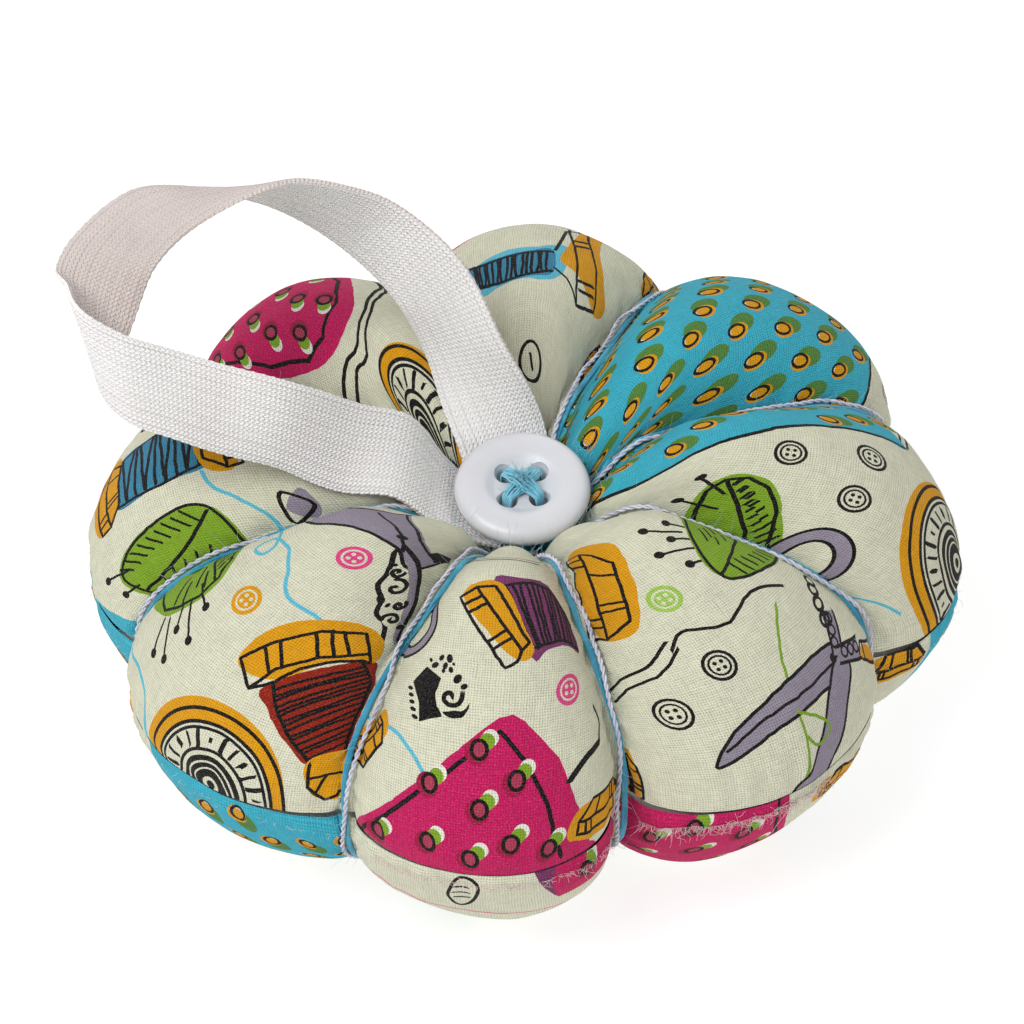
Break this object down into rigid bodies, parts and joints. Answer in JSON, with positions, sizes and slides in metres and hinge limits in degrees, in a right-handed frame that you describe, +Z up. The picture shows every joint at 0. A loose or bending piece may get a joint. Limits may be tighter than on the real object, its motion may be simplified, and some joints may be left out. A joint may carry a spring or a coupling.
{
  "type": "pin cushion",
  "caption": "Stuffed cotton pin cushion drawn into lobes like a pumpkin by wrapped floss, with a sewn-on button and an elastic loop.",
  "frame": {"origin": "middle of the footprint, on the level the lobes rest on, about 2 mm behind the line straight down from the button", "axes": "+Z up through the button, -Y towards the viewer in front, +X to the right; the loop leans towards -X"},
  "size_m": [0.099, 0.1032, 0.0636],
  "materials": {
    "cotton": "printed plain-weave cotton, matt",
    "filling": "polyester fibre filling",
    "floss": "six-strand turquoise floss, slight sheen",
    "thread": "white and pale blue twisted thread",
    "button": "glossy white",
    "elastic": "ribbed knitted elastic, matt white"
  },
  "bodies": {
    "cushion": {"upper_cover": "cotton", "lower_cover": "cotton", "stuffing": "filling", "floss_wrap_1": "floss", "thread_wrap_1": "thread", "floss_wrap_2": "floss", "thread_wrap_2": "thread", "floss_wrap_3": "floss", "thread_wrap_3": "thread", "floss_wrap_4": "floss", "thread_wrap_4": "thread", "floss_wrap_5": "floss", "thread_wrap_5": "thread", "floss_wrap_6": "floss", "thread_wrap_6": "thread", "floss_wrap_7": "floss", "thread_wrap_7": "thread", "floss_wrap_8": "floss", "thread_wrap_8": "thread", "centre_tie": "floss", "base_knot": "floss", "band_end_1": "elastic", "band_end_2": "elastic"},
    "button": {"top_button": "button", "button_stitch_1": "floss", "button_stitch_2": "floss"},
    "band": {"band_root_1": "elastic", "band_leg_1": "elastic", "band_leg_2": "elastic", "band_root_2": "elastic"},
    "band_bow": {"band_bow": "elastic"}
  },
  "joints": [
    {"name": "button_turn", "type": "hinge", "parent": "cushion", "child": "button", "pos_m": [0.001, -0.0018, 0.0303], "axis": [0, -0.2334, 0.9724], "range_deg": [-12, 12], "stiffness_Nm_per_rad": 0.004},
    {"name": "band_swing", "type": "hinge", "parent": "cushion", "child": "band", "pos_m": [-0.0024, 0.0019, 0.031], "axis": [0, 1, 0], "range_deg": [0, 76], "stiffness_Nm_per_rad": 0.006, "deforming": ["band_root_1", "band_root_2"]},
    {"name": "band_stretch", "type": "slide", "parent": "band", "child": "band_bow", "axis": [-0.81, 0, 0.5864], "range_m": [0, 0.04], "stiffness_N_per_m": 25}
  ]
}
